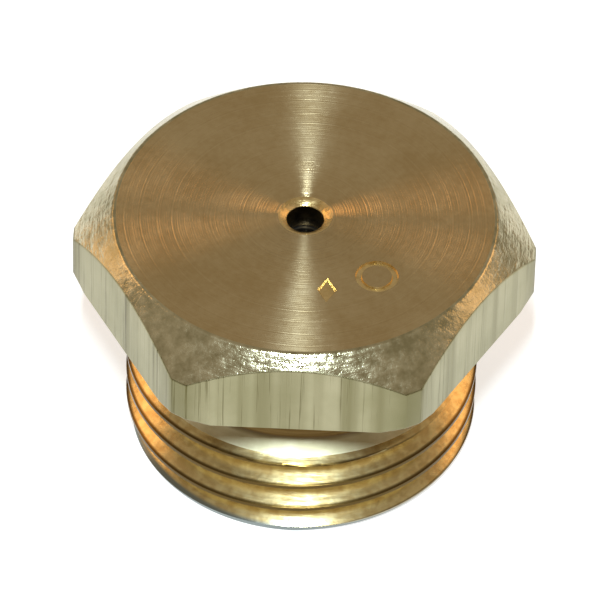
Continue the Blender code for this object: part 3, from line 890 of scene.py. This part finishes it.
# ---------------------------------------------------------------- floor, lights and camera
def make_floor():
    """A plain pale floor at the height of the nozzle's rear end, clear from below."""
    mesh = bpy.data.meshes.new("floor")
    sides = [(-1, -1), (1, -1), (1, 1), (-1, 1)]
    corners = [(x * FLOOR_REACH, y * FLOOR_REACH, 0.0) for x, y in sides]
    mesh.from_pydata(corners, [], [(0, 1, 2, 3)])
    # matt white paper, lit evenly enough to give off a little light of its own
    material = bpy.data.materials.new("matt_white_paper")
    material.use_nodes = True
    tree = material.node_tree
    shader = tree.nodes["Principled BSDF"]
    shader.inputs["Base Color"].default_value = linear("#CBCBCA")
    shader.inputs["Roughness"].default_value = 0.9
    shader.inputs["Specular IOR Level"].default_value = 0.1
    shader.inputs["Emission Color"].default_value = linear("#FFFFFF")
    shader.inputs["Emission Strength"].default_value = 0.62
    below = add(tree, "ShaderNodeNewGeometry").outputs["Backfacing"]
    clear = add(tree, "ShaderNodeBsdfTransparent")
    mixed = add(tree, "ShaderNodeMixShader", {0: below, 1: shader, 2: clear})
    plug(tree, tree.nodes["Material Output"], {"Surface": mixed})
    mesh.materials.append(material)
    placed("floor", mesh)


def make_panel(name, azimuth, elevation, width, height, radiance, colour):
    """A soft panel that faces the nozzle, seen from it at that azimuth and elevation."""
    a = math.radians(azimuth)
    e = math.radians(elevation)
    way = Vector((math.cos(a) * math.cos(e), math.sin(a) * math.cos(e), math.sin(e)))
    light = bpy.data.lights.new(name, "AREA")
    light.shape = "RECTANGLE"
    light.size = 2 * PANEL_DISTANCE * math.tan(math.radians(width / 2))
    light.size_y = 2 * PANEL_DISTANCE * math.tan(math.radians(height / 2))
    light.energy = radiance * math.pi * light.size * light.size_y
    light.color = linear(colour)[:3]
    panel = placed(name, light)
    panel.location = way * PANEL_DISTANCE + Vector((0, 0, FACE_Z / 2))
    panel.rotation_mode = "QUATERNION"
    panel.rotation_quaternion = way.to_track_quat("Z", "Y")


def make_lights():
    """A narrow key panel above the front, warm panels at both sides, and a dim even surround."""
    world = bpy.data.worlds.new("surround")
    bpy.context.scene.world = world
    world.use_nodes = True
    back = world.node_tree.nodes["Background"]
    back.inputs["Color"].default_value = linear("#AA9C86")
    back.inputs["Strength"].default_value = 1.0
    for settings in PANELS:
        make_panel(*settings)


def make_camera():
    """The camera looks down on the nozzle from the front with a long lens."""
    right = Vector((1, 0, 0))
    ahead = Vector((0, math.cos(CAMERA_ELEVATION), -math.sin(CAMERA_ELEVATION)))
    up = Vector((0, math.sin(CAMERA_ELEVATION), math.cos(CAMERA_ELEVATION)))
    right, up = (
        right * math.cos(CAMERA_ROLL) + up * math.sin(CAMERA_ROLL),
        up * math.cos(CAMERA_ROLL) - right * math.sin(CAMERA_ROLL),
    )
    pose = Matrix((right, up, -ahead)).transposed().to_4x4()
    pose.translation = right * CAMERA_RIGHT + up * CAMERA_UP - ahead * CAMERA_DISTANCE
    lens = bpy.data.cameras.new("camera")
    lens.sensor_width = CAMERA_SENSOR
    lens.lens = CAMERA_LENS
    lens.clip_start = 0.01
    lens.clip_end = 10.0
    camera = placed("camera", lens)
    around = Matrix.Rotation(CAMERA_TURN, 4, "Z")
    camera.matrix_world = Matrix.Translation((0, 0, FACE_Z)) @ around @ pose
    bpy.context.scene.camera = camera


# ---------------------------------------------------------------- assembly
def finish_nodes():
    """Better metals for the CAD nodes that are shown as they are."""
    # hardened stainless steel, ground: an even grey shine with fine rings
    steel = worked_metal(
        "stainless_steel_hardened_ground", "#8F8F8C", "#B4B3AE", 0.26, 7 / MM, RINGS, 0.004 * MM
    )
    # spring steel, blued by its tempering: dark and satin, with draw lines along the axis
    spring = worked_metal(
        "spring_steel_blued", "#3A4048", "#5A6068", 0.34, 5 / MM, (1.0, 1.0, 0.1), 0.004 * MM
    )
    # rolled strip brass, pressed: clean and yellow, with rolling lines across
    strip = worked_metal(
        "strip_brass_pressed", "#BE9C58", "#D3B676", 0.3, 4 / MM, (0.2, 1.0, 1.0), 0.004 * MM
    )
    for node, material in (
        ("orifice_disc", steel),
        ("swirl_core", steel),
        ("core_clip", spring),
        ("strainer_ring", spring),
        ("strainer_shell", strip),
        ("strainer_grid", strip),
    ):
        mesh = frame["nodes"][node].data
        mesh.materials.clear()
        mesh.materials.append(material)


def main():
    """Build the looks around the frame."""
    bpy.context.scene.view_settings.view_transform = "Standard"
    make_camera()
    make_lights()
    make_floor()
    make_body(
        [
            faced_brass(),
            turned_brass("free_cutting_brass_turned", "#A29E80", "#C9C4A8", 0.22),
            drawn_brass(),
            necked_brass(),
            threaded_brass(),
            # dark brown inside the bores and the outlet's throat: painted shade
            turned_brass("free_cutting_brass_oil_stained", "#3C301C", "#57472A", 0.42),
            turned_brass("free_cutting_brass_countersunk", "#C9B27C", "#DCC896", 0.3),
        ]
    )
    # turned brass kept clean inside the body: yellow and bright, with fine rings
    make_lock_screw(
        worked_metal("screw_brass_turned", "#C2A05C", "#D6BA7C", 0.28, 9 / MM, RINGS, 0.006 * MM)
    )
    # drawn stainless wire: bright and smooth
    make_gauze(
        worked_metal("stainless_wire_drawn", "#A3A39E", "#C2C1BB", 0.24, 6 / MM, EVEN, 0.002 * MM)
    )
    finish_nodes()


main()
